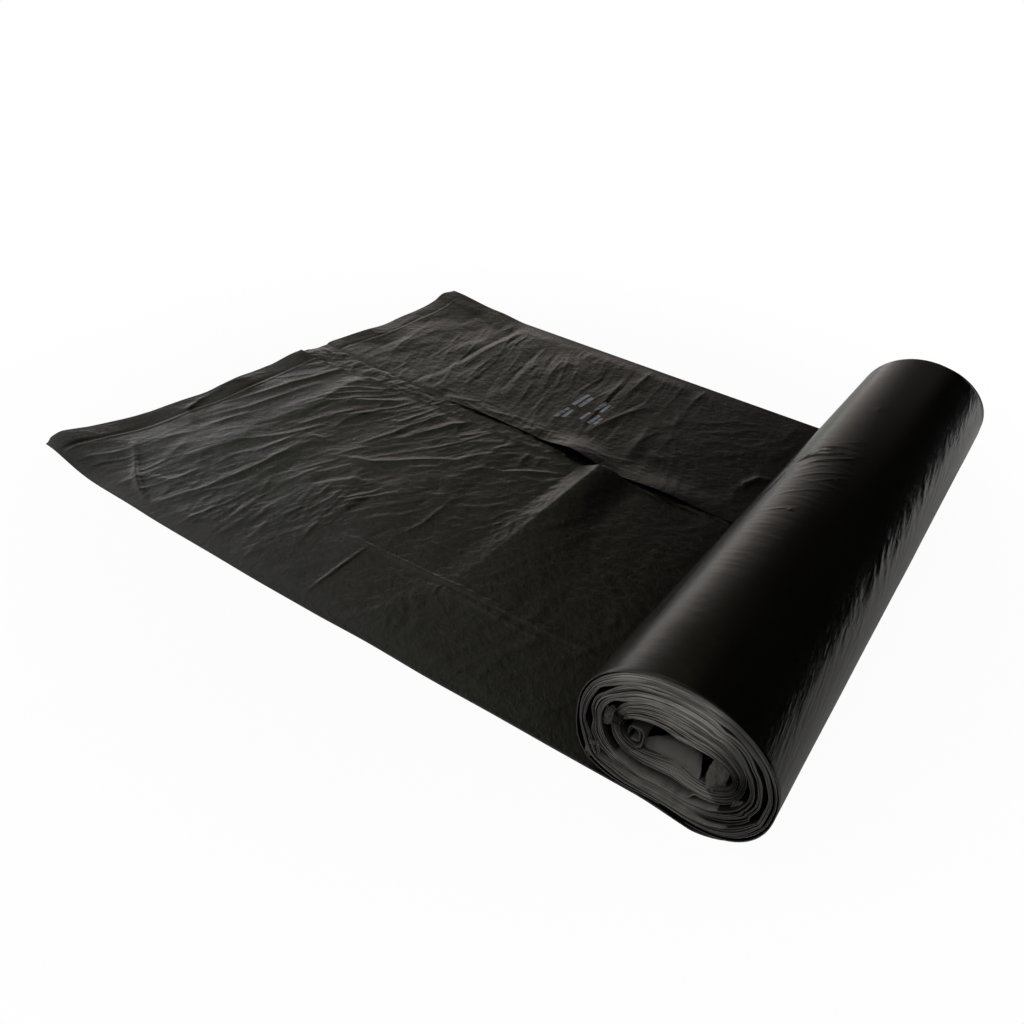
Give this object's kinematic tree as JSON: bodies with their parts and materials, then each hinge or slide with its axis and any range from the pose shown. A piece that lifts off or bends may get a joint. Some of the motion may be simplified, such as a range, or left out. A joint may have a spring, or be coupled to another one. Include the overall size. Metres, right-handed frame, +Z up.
{
  "type": "bin bag roll",
  "caption": "Coreless roll of large black bin bags lying on its side, with the first bag partly unrolled flat beside it and its free end slightly lifted.",
  "frame": {"origin": "on the floor, under the middle of the roll, at half its length", "axes": "+Z up, the roll's axis along Y, the loose bag towards -X"},
  "size_m": [0.4503, 0.386, 0.066],
  "materials": {
    "film": "satin"
  },
  "bodies": {
    "root": {"bin_bag_roll": "film"}
  },
  "joints": []
}
